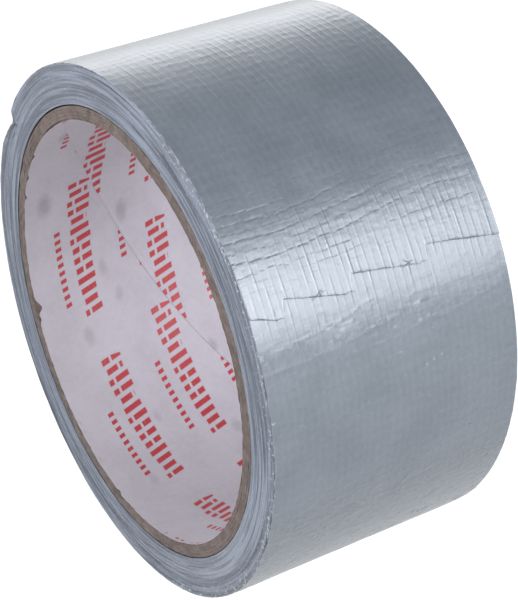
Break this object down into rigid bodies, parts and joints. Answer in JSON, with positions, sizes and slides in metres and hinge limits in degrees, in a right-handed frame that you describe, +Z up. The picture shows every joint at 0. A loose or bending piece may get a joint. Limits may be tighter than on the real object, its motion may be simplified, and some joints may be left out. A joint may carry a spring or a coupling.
{
  "type": "duct tape roll",
  "caption": "Roll of silver cloth-backed tape wound on a paperboard core, with a torn free end that peels back from the outermost turn.",
  "frame": {"origin": "on the floor, below the middle of the roll standing on its rim", "axes": "+Y along the roll's axis, from the front face to the back face; +Z up"},
  "size_m": [0.0965, 0.048, 0.0966],
  "materials": {
    "printed_paper": "matt off-white paper, printed with red repeating marks",
    "core_board": "brown-grey recycled paperboard, cut ends fuzzy",
    "silver_tape": "silver-grey film over woven cloth, satin, ribbed and creased",
    "silver_film": "silver-grey polyethylene film, satin",
    "cloth_scrim": "open woven threads, matt",
    "rubber_adhesive": "tacky grey adhesive"
  },
  "bodies": {
    "roll": {"core_liner": "printed_paper", "core_ply_1": "core_board", "core_ply_2": "core_board", "core_ply_3": "core_board", "core_ply_4": "core_board", "tape_winding": "silver_tape"},
    "tail_1": {"tail_film_1": "silver_film", "tail_scrim_1": "cloth_scrim", "tail_adhesive_1": "rubber_adhesive"},
    "tail_2": {"tail_film_2": "silver_film", "tail_scrim_2": "cloth_scrim", "tail_adhesive_2": "rubber_adhesive"},
    "tail_3": {"tail_film_3": "silver_film", "tail_scrim_3": "cloth_scrim", "tail_adhesive_3": "rubber_adhesive"},
    "tail_4": {"tail_film_4": "silver_film", "tail_scrim_4": "cloth_scrim", "tail_adhesive_4": "rubber_adhesive"},
    "tail_5": {"tail_film_5": "silver_film", "tail_scrim_5": "cloth_scrim", "tail_adhesive_5": "rubber_adhesive"},
    "tail_6": {"tail_film_6": "silver_film", "tail_scrim_6": "cloth_scrim", "tail_adhesive_6": "rubber_adhesive"},
    "tail_7": {"tail_film_7": "silver_film", "tail_scrim_7": "cloth_scrim", "tail_adhesive_7": "rubber_adhesive"}
  },
  "joints": [
    {"name": "tail_peel", "type": "hinge", "parent": "roll", "child": "tail_1", "pos_m": [0.01853, 0, 0.09301], "axis": [0, -1, 0], "range_deg": [0, 75]},
    {"name": "tail_curl_2", "type": "hinge", "parent": "tail_1", "child": "tail_2", "pos_m": [0.02236, 0, 0.09123], "axis": [0, -1, 0], "range_deg": [0, 11]},
    {"name": "tail_curl_3", "type": "hinge", "parent": "tail_2", "child": "tail_3", "pos_m": [0.02602, 0, 0.08912], "axis": [0, -1, 0], "range_deg": [0, 11]},
    {"name": "tail_curl_4", "type": "hinge", "parent": "tail_3", "child": "tail_4", "pos_m": [0.02949, 0, 0.08669], "axis": [0, -1, 0], "range_deg": [0, 11]},
    {"name": "tail_curl_5", "type": "hinge", "parent": "tail_4", "child": "tail_5", "pos_m": [0.03273, 0, 0.08398], "axis": [0, -1, 0], "range_deg": [0, 11]},
    {"name": "tail_curl_6", "type": "hinge", "parent": "tail_5", "child": "tail_6", "pos_m": [0.03572, 0, 0.08099], "axis": [0, -1, 0], "range_deg": [0, 11]},
    {"name": "tail_curl_7", "type": "hinge", "parent": "tail_6", "child": "tail_7", "pos_m": [0.03844, 0, 0.07776], "axis": [0, -1, 0], "range_deg": [0, 11]}
  ],
  "couplings": [
    {"joint": "tail_curl_2", "follows": "tail_peel", "ratio": 0.14},
    {"joint": "tail_curl_3", "follows": "tail_peel", "ratio": 0.14},
    {"joint": "tail_curl_4", "follows": "tail_peel", "ratio": 0.14},
    {"joint": "tail_curl_5", "follows": "tail_peel", "ratio": 0.14},
    {"joint": "tail_curl_6", "follows": "tail_peel", "ratio": 0.14},
    {"joint": "tail_curl_7", "follows": "tail_peel", "ratio": 0.14}
  ]
}
